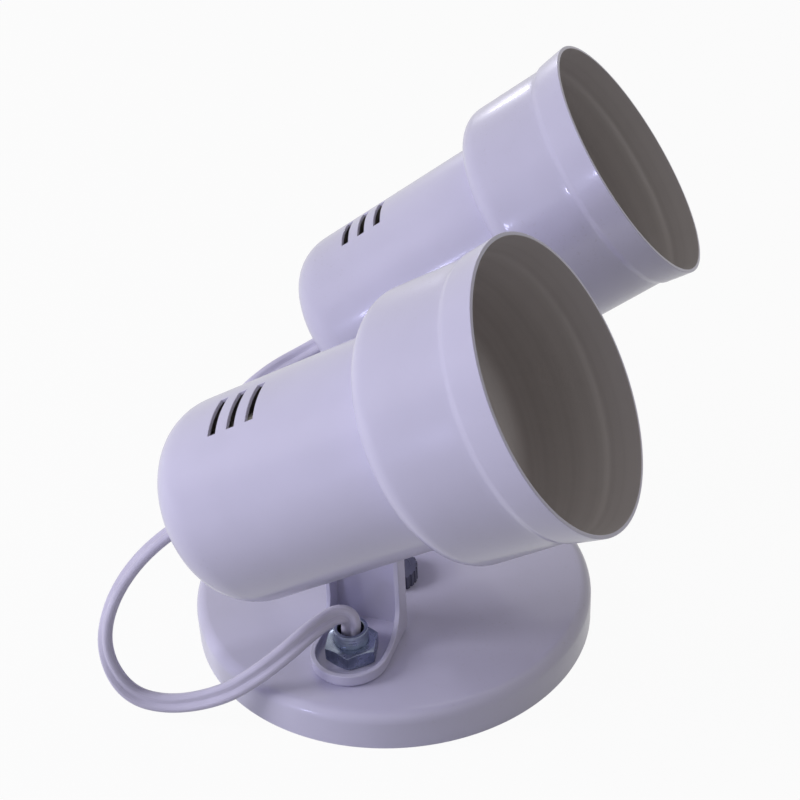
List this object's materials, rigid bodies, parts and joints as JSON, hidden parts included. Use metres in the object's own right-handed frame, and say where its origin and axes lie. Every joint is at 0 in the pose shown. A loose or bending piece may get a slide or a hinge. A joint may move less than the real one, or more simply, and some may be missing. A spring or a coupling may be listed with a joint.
{
  "type": "twin pivoting spotlight wall light",
  "caption": "Wall light with a round canopy and tilting, swivelling spot heads on pressed brackets, fed by flat cords through hollow nipples.",
  "frame": {"origin": "middle of the canopy's wall side, at the level of its rim and of the crossbar's back", "axes": "+Z out of the wall; +X the way the spot heads point, along the crossbar and the row of wall screws; +Y across"},
  "size_m": [0.1796, 0.1866, 0.1593],
  "materials": {
    "enamel": "white gloss enamel with a cool tint",
    "zinc_strip": "zinc plated strip",
    "zinc": "bright blue-white zinc plate",
    "dark_plastic": "satin dark plastic",
    "brass": "plain brass",
    "plated_brass": "nickel plated brass",
    "insulator": "natural nylon",
    "spacer_plastic": "white nylon",
    "porcelain": "glazed porcelain",
    "grommet_rubber": "soft white rubber",
    "wire_insulation": "wire insulation",
    "cord_sheath": "soft white PVC"
  },
  "bodies": {
    "canopy_assembly": {"canopy": "enamel", "crossbar": "zinc_strip", "crossbar_nut": "zinc", "centre_screw": "dark_plastic", "earth_washer": "brass", "earth_screw": "brass", "terminal_block": "insulator", "block_screw": "zinc", "block_terminals": "zinc", "nipples": "zinc", "nipple_nuts": "zinc", "lock_washers": "zinc", "lock_nuts": "zinc", "canopy_leads_1": "wire_insulation", "canopy_leads_2": "wire_insulation"},
    "bracket_1_body": {"bracket_1": "enamel", "cord_1": "cord_sheath"},
    "head_1_body": {"shell_1": "enamel", "pivot_spacer_1": "spacer_plastic", "pivot_screw_1": "zinc", "pivot_washer_1": "zinc", "pivot_nut_1": "zinc", "lampholder_1": "porcelain", "screw_shell_1": "plated_brass", "contact_1": "brass", "holder_screws_1": "zinc", "holder_spacers_1": "zinc", "holder_terminals_1": "brass", "grommet_1": "grommet_rubber", "head_leads_1": "wire_insulation"},
    "bracket_2_body": {"bracket_2": "enamel", "cord_2": "cord_sheath"},
    "head_2_body": {"shell_2": "enamel", "pivot_spacer_2": "spacer_plastic", "pivot_screw_2": "zinc", "pivot_washer_2": "zinc", "pivot_nut_2": "zinc", "lampholder_2": "porcelain", "screw_shell_2": "plated_brass", "contact_2": "brass", "holder_screws_2": "zinc", "holder_spacers_2": "zinc", "holder_terminals_2": "brass", "grommet_2": "grommet_rubber", "head_leads_2": "wire_insulation"}
  },
  "joints": [
    {"name": "swivel_1", "type": "hinge", "parent": "canopy_assembly", "child": "bracket_1_body", "pos_m": [-0.01235, -0.03488, 0.0128], "axis": [0, 0, 1], "range_deg": [-60, 9]},
    {"name": "tilt_1", "type": "hinge", "parent": "bracket_1_body", "child": "head_1_body", "pos_m": [-0.01755, -0.04916, 0.087], "axis": [-0.342, -0.9397, 0], "range_deg": [-60, 60], "deforming": ["cord_1"]},
    {"name": "swivel_2", "type": "hinge", "parent": "canopy_assembly", "child": "bracket_2_body", "pos_m": [0.01235, 0.03488, 0.0128], "axis": [0, 0, 1], "range_deg": [-9, 60]},
    {"name": "tilt_2", "type": "hinge", "parent": "bracket_2_body", "child": "head_2_body", "pos_m": [0.01533, 0.04978, 0.087], "axis": [-0.196, -0.9806, 0], "range_deg": [-65, 55], "deforming": ["cord_2"]}
  ]
}
